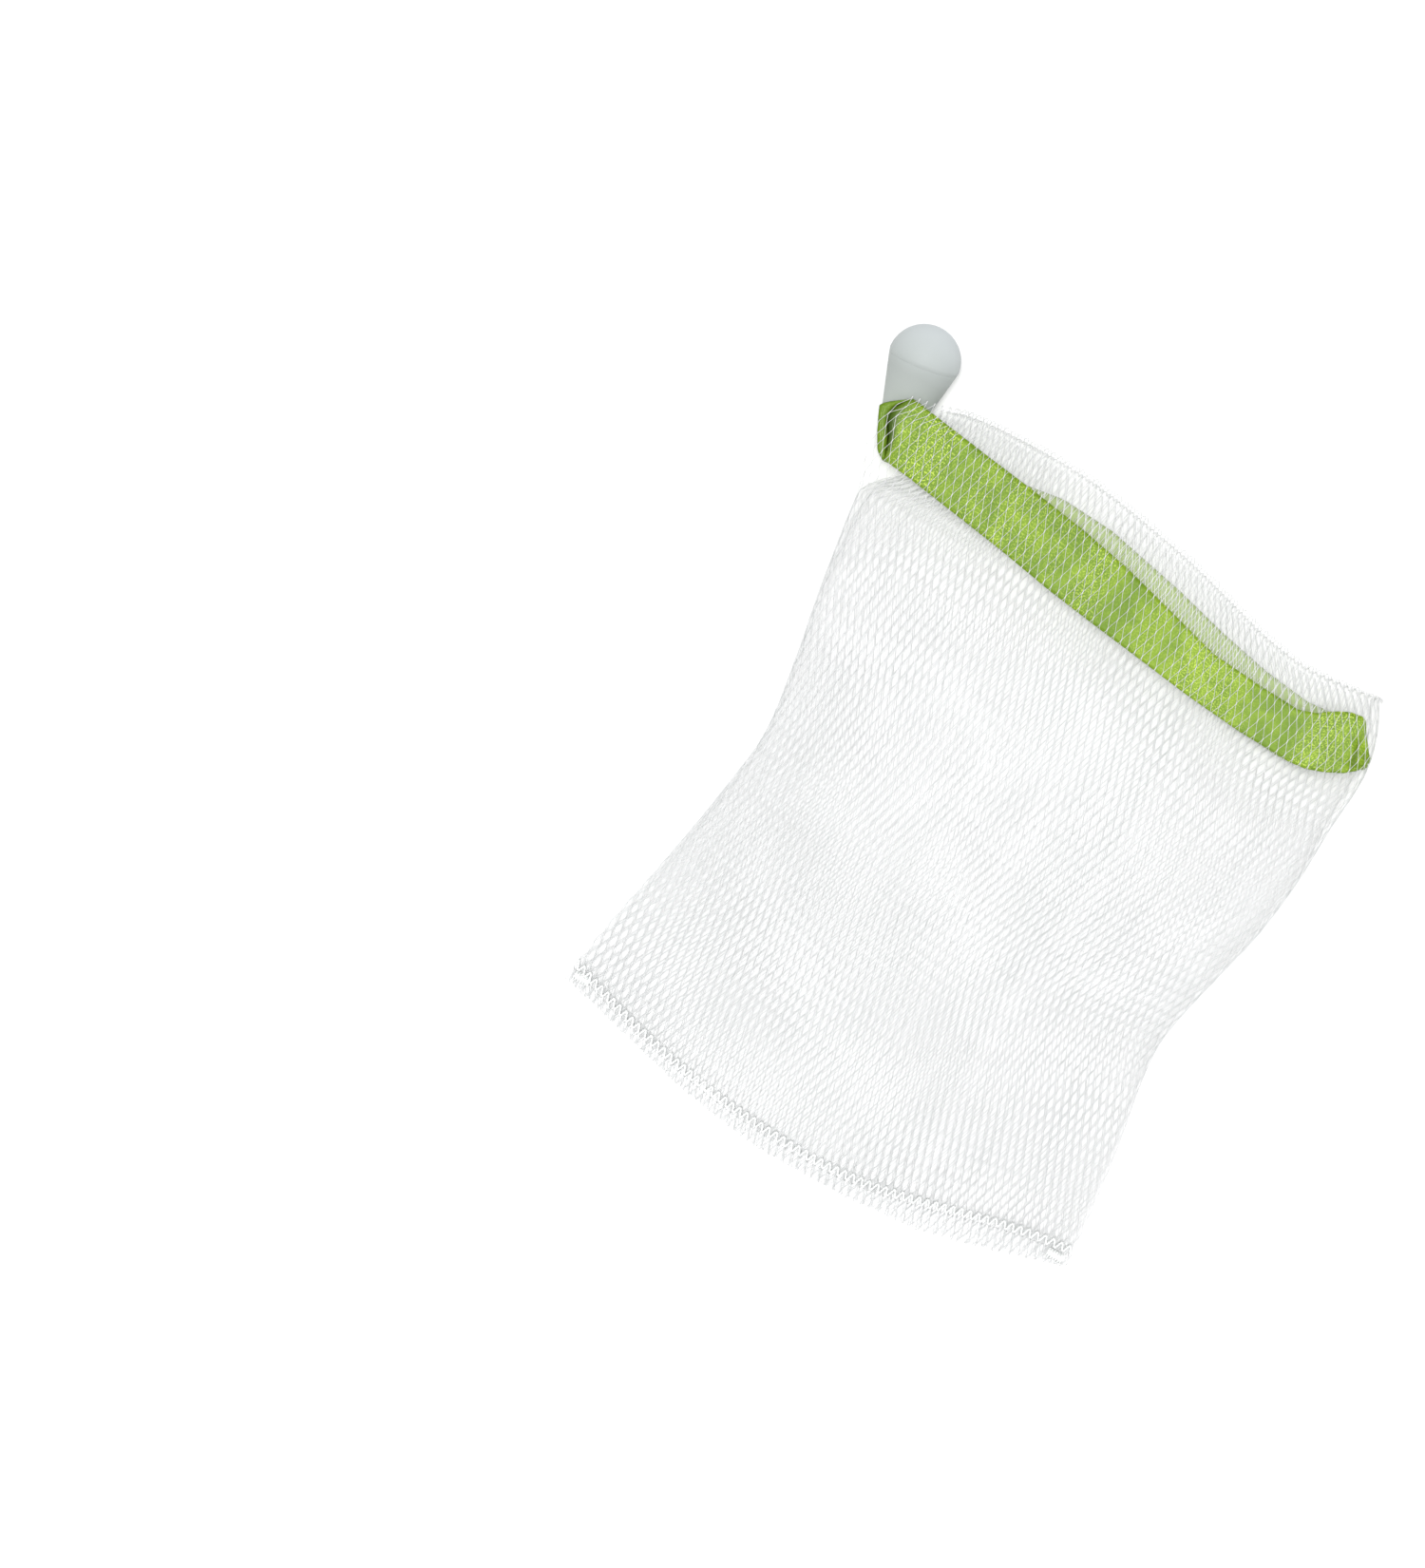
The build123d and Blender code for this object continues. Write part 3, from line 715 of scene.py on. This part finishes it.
def ribbon_material():
    """Yellow-green satin: fine cross ribs, painted glints as light flecks, a painted sheen along part of the
    front run, and painted shade at both edges of the width and in the creases.
    """
    material, shader = new_material("satin_ribbon", (0.27, 0.43, 0.05), 0.42)
    weave_and_shade = node(material, "ShaderNodeAttribute", attribute_name="weave_and_shade")
    parts = node(material, "ShaderNodeSeparateXYZ")
    wire(material, weave_and_shade, "Vector", parts, "Vector")
    stretch = node(material, "ShaderNodeVectorMath", operation="MULTIPLY")
    stretch.inputs[1].default_value = (1.0, 10.5, 0.0)
    wire(material, weave_and_shade, "Vector", stretch, "Vector")
    soft = node(material, "ShaderNodeTexNoise", in_Scale=0.28, in_Detail=3.0)
    wire(material, stretch, "Vector", soft, "Vector")
    fleck = node(material, "ShaderNodeTexNoise", in_Scale=3.3, in_Detail=2.0)
    wire(material, stretch, "Vector", fleck, "Vector")
    reach = node(material, "ShaderNodeMath", operation="MULTIPLY")
    reach.inputs[1].default_value = 0.01  # a ramp takes 0 to 1: hundredths of the distance along the ribbon
    wire(material, parts, "X", reach, 0)
    # Painted sheen: a lighter stretch from 50 to 87 mm along the ribbon, lightest near 66 mm.
    painted_sheen = ramp(material, reach, "Value", [(0.50, 0.0), (0.66, 1.0), (0.77, 0.8), (0.87, 0.0)])
    lighter = node(material, "ShaderNodeMath", operation="MULTIPLY_ADD")
    lighter.inputs[1].default_value = 0.16
    wire(material, painted_sheen, "Color", lighter, 0)
    wire(material, soft, "Fac", lighter, 2)
    base = ramp(material, lighter, "Value", [(0.3, (0.12, 0.225, 0.003)), (0.5, (0.144, 0.262, 0.004)),
                                             (0.7, (0.21, 0.345, 0.008))])
    # Painted glints: light-green flecks where the fine noise is high, stronger in some broad bands.
    glint_spots = ramp(material, fleck, "Fac", [(0.5, 0.0), (0.66, 1.0)])
    bright = node(material, "ShaderNodeMix", data_type="RGBA")
    bright.inputs["B"].default_value = (0.58, 0.74, 0.08, 1)
    bands = node(material, "ShaderNodeTexNoise", in_Scale=0.12, in_Detail=1.0)
    wire(material, weave_and_shade, "Vector", bands, "Vector")
    strong = ramp(material, bands, "Fac", [(0.38, 0.15), (0.62, 0.95)])
    weigh = node(material, "ShaderNodeMath", operation="MULTIPLY")
    wire(material, glint_spots, "Color", weigh, 0)
    wire(material, strong, "Color", weigh, 1)
    wire(material, weigh, "Value", bright, "Factor")
    wire(material, base, "Color", bright, "A")
    back = node(material, "ShaderNodeAttribute", attribute_name="reverse")
    dull = node(material, "ShaderNodeMix", data_type="RGBA")
    dull.inputs["B"].default_value = (0.50, 0.60, 0.30, 1)
    share = node(material, "ShaderNodeMath", operation="MULTIPLY")
    share.inputs[1].default_value = 0.8
    wire(material, back, "Fac", share, 0)
    wire(material, share, "Value", dull, "Factor")
    wire(material, bright, "Result", dull, "A")
    # Painted shade: darker towards both edges of the width and where the stored shade is below 1, mixed towards
    # the dark green shade colour.
    edge_distance = node(material, "ShaderNodeMath", operation="PINGPONG")
    edge_distance.inputs[1].default_value = 0.5
    wire(material, parts, "Y", edge_distance, 0)
    edge = ramp(material, edge_distance, "Value", [(0.0, 0.8), (0.035, 0.9), (0.06, 1.0)])
    dark = node(material, "ShaderNodeMath", operation="MULTIPLY")
    wire(material, edge, "Color", dark, 0)
    wire(material, parts, "Z", dark, 1)
    shaded = node(material, "ShaderNodeMix", data_type="RGBA")
    shaded.inputs["A"].default_value = (0.045, 0.085, 0.01, 1)
    wire(material, dark, "Value", shaded, "Factor")
    wire(material, dull, "Result", shaded, "B")
    wire(material, shaded, "Result", shader, "Base Color")
    ribs = node(material, "ShaderNodeTexWave", in_Scale=1.15, in_Distortion=0.6, in_Detail=1.0)
    wire(material, stretch, "Vector", ribs, "Vector")
    height = node(material, "ShaderNodeMath", operation="MULTIPLY_ADD")
    height.inputs[1].default_value = 0.6
    wire(material, fleck, "Fac", height, 0)
    wire(material, ribs, "Fac", height, 2)
    bump = node(material, "ShaderNodeBump", in_Strength=0.45, in_Distance=0.00005)
    wire(material, height, "Value", bump, "Height")
    wire(material, bump, "Normal", shader, "Normal")
    ramp(material, fleck, "Fac", [(0.35, 0.5), (0.7, 0.3)], shader, "Roughness")
    shader.inputs["Specular IOR Level"].default_value = 0.3
    return material


satin = ribbon_material()


def ribbon_piece():
    """The whole ribbon in the casing: folded corner, front run, far loop and back run."""
    corner, corner_shade = ribbon_corner()
    front, front_shade = ribbon_rows(True)
    back, back_shade = ribbon_rows(False)
    rows = np.concatenate([corner, front, back[::-1][1:]])
    shade = np.concatenate([corner_shade, front_shade, back_shade[::-1][1:]])
    piece = strip_mesh("ribbon", rows, shade, RIBBON_THICK, "drawstring")
    piece.data.materials.append(satin)
    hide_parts("ribbon_front_run", "ribbon_far_loop", "ribbon_back_run")
    return piece


def strap(name, path, wide, pleats, node_name):
    """A gathered tail of ribbon along a path, its width lying along `wide`'s directions."""
    path = np.array(path, float)
    at = np.linspace(0, len(path) - 1, 60)
    line = np.stack([smooth_line(list(enumerate(path[:, i])), at) for i in range(3)], axis=1)
    sideways = np.stack([smooth_line(list(enumerate(np.array(wide)[:, i])), at) for i in range(3)], axis=1)
    share = np.linspace(-0.5, 0.5, 14)
    ahead = np.gradient(line, axis=0)
    ahead /= np.linalg.norm(ahead, axis=1, keepdims=True)
    facing = np.cross(ahead, sideways)
    facing /= np.maximum(np.linalg.norm(facing, axis=1, keepdims=True), 1e-9)
    fold = pleats * np.sin(share * 2 * math.pi * 1.5)[None, :, None]
    rows = line[:, None] + share[None, :, None] * sideways[:, None] + fold * facing[:, None]
    shade = np.repeat((0.75 + 0.2 * np.cos(share * 6 * math.pi))[None], len(line), 0)
    piece = strip_mesh(name, rows, shade, 0.24, first=3.0)
    piece.data.materials.append(satin)
    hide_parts(node_name)
    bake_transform(piece)
    return piece


# ---- stopper ----
def stopper_place(points):
    """Points given across, up and along the stopper's axis, put in place."""
    along_axis = STOPPER_AXIS / np.linalg.norm(STOPPER_AXIS)
    across = np.cross(along_axis, (0, 0, 1))
    across /= np.linalg.norm(across)
    up = np.cross(across, along_axis)
    points = np.asarray(points, float)
    return STOPPER_END + points[..., 0:1] * across + points[..., 1:2] * up + points[..., 2:3] * along_axis


def turned_piece(name, profile, body, material, node_name, closed):
    """A turned part from (radius, distance) points; closed profiles make a ring, open ones end on the axis."""
    segments = 128
    angles = np.arange(segments) * 2 * math.pi / segments
    rings = [p for p in profile if p[0] > 1e-6]
    points = [(r * math.cos(t), r * math.sin(t), d) for r, d in rings for t in angles]
    faces = []
    count = len(rings)
    for i in range(count if closed else count - 1):
        j = (i + 1) % count
        for k in range(segments):
            m = (k + 1) % segments
            faces.append([i * segments + k, i * segments + m, j * segments + m, j * segments + k])
    if not closed:
        for ring, distance, order in ((0, profile[0][1], -1), (count - 1, profile[-1][1], 1)):
            points.append((0, 0, distance))
            for k in range(segments):
                m = (k + 1) % segments
                faces.append([ring * segments + k, ring * segments + m, len(points) - 1][::order])
    piece = new_piece(name, stopper_place(points), faces, body)
    piece.data.materials.append(material)
    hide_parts(node_name)
    return piece


def arc(centre, radius, start, end, steps):
    """Points of an arc in the profile, angles in degrees from the radial direction."""
    turns = np.radians(np.linspace(start, end, steps))
    return [(centre[0] + radius * math.cos(t), centre[1] + radius * math.sin(t)) for t in turns]


def spread(points, step=0.5):
    """The profile with points added on its long straight runs."""
    out = [points[0]]
    for a, b in zip(points, points[1:]):
        parts = max(1, int(math.hypot(b[0] - a[0], b[1] - a[1]) / step))
        out += [(mix(a[0], b[0], i / parts), mix(a[1], b[1], i / parts)) for i in range(1, parts + 1)]
    return out


def stopper_material():
    """Frosted plastic with painted light: lightest at the dome, darkest halfway, a little greener at the narrow
    end.
    """
    material, shader = new_material("frosted_plastic", (0.5, 0.55, 0.52), 0.42)
    place = node(material, "ShaderNodeTexCoord")
    parts = node(material, "ShaderNodeSeparateXYZ")
    wire(material, place, "Object", parts, "Vector")
    reach = node(material, "ShaderNodeMapRange")
    reach.inputs["From Min"].default_value = STOPPER_END[1] * MM
    reach.inputs["From Max"].default_value = (STOPPER_END[1] + 20) * MM
    wire(material, parts, "Y", reach, "Value")
    cloud = node(material, "ShaderNodeTexNoise", in_Scale=160.0, in_Detail=3.0)
    wire(material, place, "Object", cloud, "Vector")
    shifted = node(material, "ShaderNodeMath", operation="MULTIPLY_ADD")
    shifted.inputs[1].default_value = 0.12
    wire(material, cloud, "Fac", shifted, 0)
    wire(material, reach, "Result", shifted, 2)
    # Painted light: the dome end is made lightest and the middle darkest, over a faint random cloud.
    ramp(material, shifted, "Value", [(0.05, (0.42, 0.455, 0.425)), (0.5, (0.375, 0.405, 0.39)),
                                      (1.0, (0.555, 0.595, 0.61))], shader, "Base Color")
    frost = node(material, "ShaderNodeTexNoise", in_Scale=2600.0, in_Detail=2.0)
    wire(material, place, "Object", frost, "Vector")
    bump = node(material, "ShaderNodeBump", in_Strength=0.12, in_Distance=0.00003)
    wire(material, frost, "Fac", bump, "Height")
    wire(material, bump, "Normal", shader, "Normal")
    ramp(material, frost, "Fac", [(0.3, 0.55), (0.7, 0.7)], shader, "Roughness")
    shader.inputs["Specular IOR Level"].default_value = 0.3
    return material


def stopper_pieces():
    """Shell with rounded lips, and the domed cap with its spigot."""
    frosted = stopper_material()
    rim = NARROW + SLOPE * PARTING
    lip, edge = 0.6, 0.03
    shell = arc((NARROW + SLOPE * lip - lip, lip), lip, -90, -14, 8)
    shell += [(rim - 0.01, PARTING - 0.1)] + arc((rim - edge, PARTING - edge), edge, 10, 90, 4)
    shell += [(BORE + 0.1, PARTING), (BORE, PARTING - 0.1), (BORE, BORE_FLOOR), (CAVITY_WIDE, CAVITY_TOP)]
    shell += [(CAVITY_NARROW, CAVITY_FLOOR), (HOLE, HOLE_LENGTH)] + arc((HOLE + 0.3, 0.3), 0.3, 180, 270, 6)
    shell = spread(shell + [shell[0]], 0.6)[:-1]
    turned_piece("stopper_bell", shell, "stopper", frosted, "stopper_shell", True)
    base, top = PARTING + 0.008, CONE + DOME
    dome_radius = (WIDEST**2 + DOME**2) / (2 * DOME)
    centre = (0, top - dome_radius)
    start = math.degrees(math.atan2(CONE - centre[1], WIDEST))
    dome = arc(centre, dome_radius, start, 90, 40)
    roof = CONE + CAP_ROOF
    cap = [(0, roof), (SPIGOT_INSIDE - 0.3, roof), (SPIGOT_INSIDE, roof - 0.3)]
    cap += [(SPIGOT_INSIDE, SPIGOT_END + 0.15), (SPIGOT_INSIDE + 0.15, SPIGOT_END)]
    cap += [(SPIGOT - 0.15, SPIGOT_END), (SPIGOT, SPIGOT_END + 0.2)]
    cap += [(SPIGOT, base)] + arc((rim - edge, base + edge), edge, -90, -10, 4)
    cap += [(WIDEST - 0.03, CONE - 0.12)] + dome
    turned_piece("stopper_dome", spread(cap, 0.6), "cap", frosted, "stopper_cap", False)


def knot_piece():
    """The knot of both ribbon ends inside the stopper, a small trefoil with two cut ends."""
    turn = np.linspace(0.25, 2 * math.pi - 0.25, 150)
    x = 0.82 * (np.sin(turn) + 1.7 * np.sin(2 * turn))
    y = 0.82 * (np.cos(turn) - 1.7 * np.cos(2 * turn))
    z = 8.6 - 1.5 * np.sin(3 * turn)
    line = np.stack([x, y, z], axis=1)
    ends = [(0.3, 0.5, 12.9), (0.3, 0.6, 11.6)], [(-0.3, -0.6, 11.6), (-0.4, -0.7, 12.7)]
    line = np.concatenate([ends[0], line, ends[1]])
    line = even(line, 0.25)
    share = np.linspace(-0.5, 0.5, 10)
    ahead = np.gradient(line, axis=0)
    ahead /= np.linalg.norm(ahead, axis=1, keepdims=True)
    outward = line * (1, 1, 0) + 1e-3
    sideways = np.cross(ahead, outward)
    sideways /= np.maximum(np.linalg.norm(sideways, axis=1, keepdims=True), 1e-9)
    rows = line[:, None] + 2.3 * share[None, :, None] * sideways[:, None]
    shade = np.full(rows.shape[:2], 0.8)
    piece = strip_mesh("ribbon_knot_inside", stopper_place(rows), shade, 0.22, "stopper")
    piece.data.materials.append(satin)
    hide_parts("ribbon_knot")


ribbon_piece()
LEVEL = CASING_HEIGHT - RIBBON_DEPTH
INSIDE_WIDTHS = [(2.9, 0, 0), (2.5, 0, 0), (2.3, 0, 0), (2.1, 0, 0)]
THROUGH = [stopper_place([0, 0, d]) for d in (-0.4, 2.0, 4.8)]  # places along the hole and the hollow behind it
strap("ribbon_tail_upper",
      [(-46.9, 51.8, LEVEL - 0.9), (-46.6, 51.2, LEVEL - 1.4), (-46.2, 50.6, LEVEL - 3.2), (-45.8, 50.7, 5.4),
       THROUGH[0] + (0, -0.7, 0.9), THROUGH[0] + (0, 0.4, 0.45), THROUGH[1] + (0, 0, 0.4),
       THROUGH[2] + (0, 0, 0.4)],
      [(1.6, 2.2, 0), (2.8, 1.6, 0), (3.3, 0.3, 0), (3.1, 0, 0)] + INSIDE_WIDTHS,
      0.26, "ribbon_tail_front")
strap("ribbon_tail_lower",
      [(-41.5, 50.4, 0.9), (-43.4, 50.0, 0.75), (-44.9, 49.5, 0.8), (-45.4, 49.9, 1.3), (-45.5, 50.9, 1.75),
       THROUGH[0] + (0, 0.2, -0.5), THROUGH[1] + (0, 0, -0.4), THROUGH[2] + (0, 0, -0.4)],
      [(0.5, 5.0, 0), (1.6, 3.6, 0), (2.6, 2.0, 0), (3.0, 0.6, 0), (2.8, 0, 0)] + INSIDE_WIDTHS[1:],
      0.22, "ribbon_tail_back")
stopper_pieces()
knot_piece()


# ---- floor, light and camera, in metres ----
FLOOR_REACH = 3
SUNS = [("key", (-0.1, 0.0, 1.0), 12, 1.5), ("overhead", (0.05, -0.12, 1.0), 12, 1.1)]  # place, degrees, power
VIEW_AIM = Vector((-0.0424, -0.0152, 0.0))
VIEW_UP = Vector((-0.503, 0.8643, 0))
VIEW_RIGHT = Vector((0.8643, 0.503, 0))
VIEW_SPAN = 0.2661  # seen from edge to edge at FOCUS_HEIGHT
FOCUS_HEIGHT = 0.008


def floor_and_light():
    """A white floor, an even white surround and two soft suns."""
    mesh = bpy.data.meshes.new("floor")
    corners = [(x * FLOOR_REACH, y * FLOOR_REACH, 0) for x, y in ((-1, -1), (1, -1), (1, 1), (-1, 1))]
    mesh.from_pydata(corners, [], [(0, 1, 2, 3)])
    floor = bpy.data.objects.new("floor", mesh)
    bpy.context.scene.collection.objects.link(floor)
    mesh.materials.append(new_material("floor_white", (0.93, 0.93, 0.93), 0.9)[0])
    world = bpy.data.worlds.new("studio")
    world.use_nodes = True
    surround = world.node_tree.nodes["Background"]
    surround.inputs["Color"].default_value = (1, 1, 1, 1)
    surround.inputs["Strength"].default_value = 0.6
    bpy.context.scene.world = world
    for name, place, angle, power in SUNS:
        lamp = bpy.data.lights.new(name, "SUN")
        lamp.angle = math.radians(angle)
        lamp.energy = power
        holder = bpy.data.objects.new(name, lamp)
        holder.location = place
        holder.rotation_euler = (-Vector(place)).to_track_quat("-Z", "Y").to_euler()
        bpy.context.scene.collection.objects.link(holder)


def camera():
    """Straight down, turned so that the pouch stands askew."""
    lens = bpy.data.cameras.new("camera")
    lens.lens = 120
    lens.sensor_width = 36
    distance = VIEW_SPAN * lens.lens / lens.sensor_width + FOCUS_HEIGHT
    holder = bpy.data.objects.new("camera", lens)
    turn = holder.matrix_world.to_3x3()
    turn.col[0], turn.col[1], turn.col[2] = VIEW_RIGHT.normalized(), VIEW_UP.normalized(), Vector((0, 0, 1))
    holder.rotation_euler = turn.to_euler()
    holder.location = VIEW_AIM + Vector((0, 0, distance))
    bpy.context.scene.collection.objects.link(holder)
    bpy.context.scene.camera = holder


bpy.context.scene.view_settings.view_transform = "Standard"
floor_and_light()
camera()
